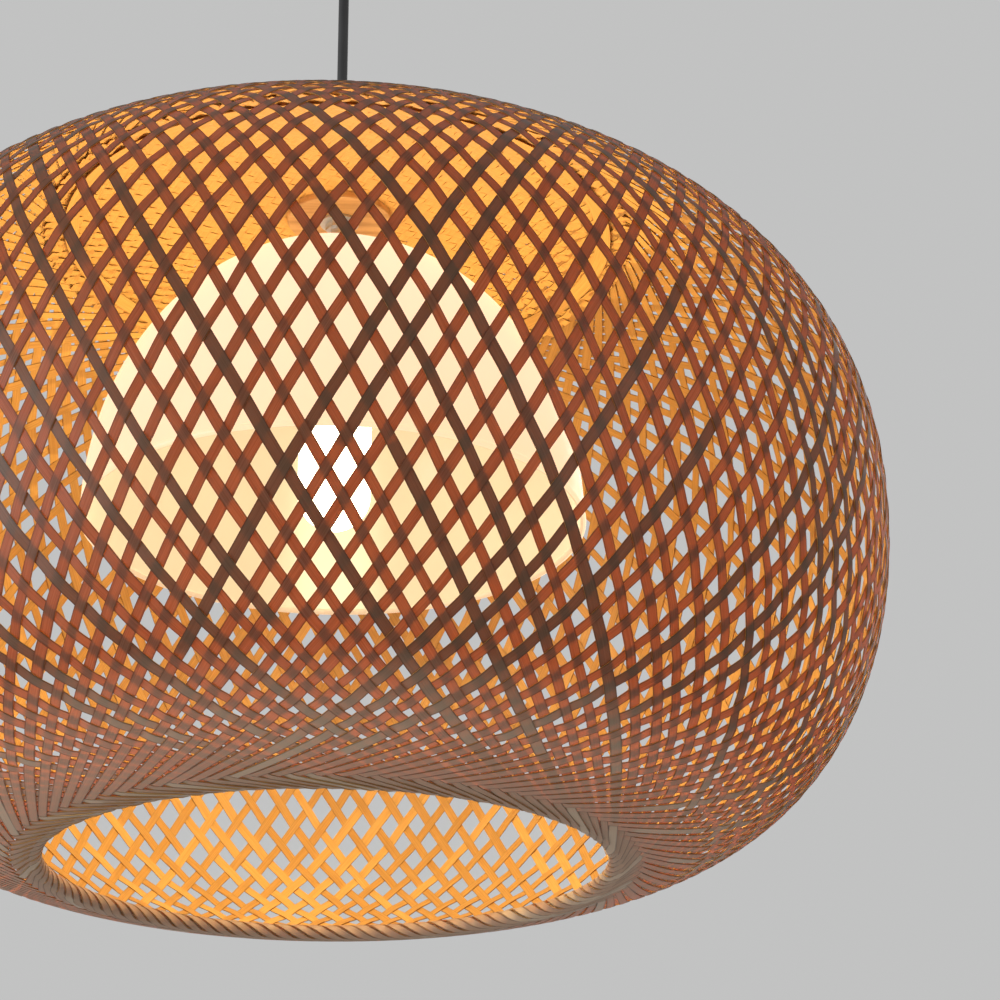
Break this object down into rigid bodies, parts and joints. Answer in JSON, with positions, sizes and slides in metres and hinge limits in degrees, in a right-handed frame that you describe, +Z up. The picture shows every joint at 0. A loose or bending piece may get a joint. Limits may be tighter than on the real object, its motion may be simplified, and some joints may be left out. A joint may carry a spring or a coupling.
{
  "type": "pendant light",
  "caption": "Woven bamboo globe pendant light, open at the bottom, with an opal inner dome, a tubular opal bulb, a short cord and a round ceiling cup.",
  "frame": {"origin": "middle of the ceiling bracket's upper face, on the ceiling", "axes": "+Z up, along the light's own axis, out of the ceiling face; +X along the bracket, through its two ceiling holes; -Y is the side seen in the main view"},
  "size_m": [0.6018, 0.6018, 0.6288],
  "materials": {
    "zinc_steel": "satin",
    "black_metal": "satin",
    "black_plastic": "matte",
    "white_plastic": "matte",
    "brass": "satin",
    "cord_sheath": "matte",
    "core_insulation": "matte",
    "bamboo_disc": "satin",
    "bamboo_weave": "satin",
    "opal_dome": "gloss",
    "porcelain": "gloss",
    "nickel_shell": "satin",
    "opal_globe": "gloss",
    "circuit_board": "matte"
  },
  "bodies": {
    "ceiling_fitting": {"ceiling_bracket": "zinc_steel", "ceiling_cup": "black_metal", "cup_screws": "black_metal", "cup_bush": "black_plastic", "bush_screw": "zinc_steel", "bush_nut": "black_plastic", "terminal_block": "white_plastic", "terminal_tubes": "brass", "terminal_screws": "zinc_steel", "block_screw": "zinc_steel", "cord_tail": "cord_sheath", "supply_cores": "core_insulation"},
    "cord_neck": {"cord_neck": "cord_sheath"},
    "cord": {"pendant_cord": "cord_sheath"},
    "lamp": {"cord_end": "cord_sheath", "cord_gland": "black_plastic", "gland_screw": "zinc_steel", "threaded_stem": "zinc_steel", "stem_washers": "zinc_steel", "stem_nuts": "zinc_steel", "disc_screws": "brass", "lower_crown_disc": "bamboo_disc", "upper_crown_disc": "bamboo_disc", "crown_mat": "bamboo_weave", "mouth_hoop": "bamboo_weave", "woven_shade": "bamboo_weave", "inner_dome": "opal_dome", "holder_cap": "black_plastic", "holder_skirt": "black_plastic", "holder_insert": "porcelain", "screw_shell": "nickel_shell", "centre_contact": "brass", "holder_screws": "brass", "holder_cores": "core_insulation"},
    "bulb": {"bulb_globe": "opal_globe", "bulb_collar": "white_plastic", "light_board": "circuit_board", "bulb_screw_cap": "nickel_shell", "bulb_insulator": "black_plastic", "bulb_contact": "brass"}
  },
  "joints": [
    {"name": "cord_twist", "type": "hinge", "parent": "ceiling_fitting", "child": "cord_neck", "pos_m": [0, 0, -0.06], "axis": [0, 0, 1], "range_deg": [-180, 180]},
    {"name": "cord_swing", "type": "hinge", "parent": "cord_neck", "child": "cord", "pos_m": [0, 0, -0.06], "axis": [1, 0, 0], "range_deg": [-45, 45]},
    {"name": "lamp_tilt", "type": "hinge", "parent": "cord", "child": "lamp", "pos_m": [0, 0, -0.208], "axis": [0, 1, 0], "range_deg": [-20, 20]},
    {"name": "bulb_release", "type": "slide", "parent": "lamp", "child": "bulb", "axis": [0, 0, -1], "range_m": [0, 0.03]}
  ]
}
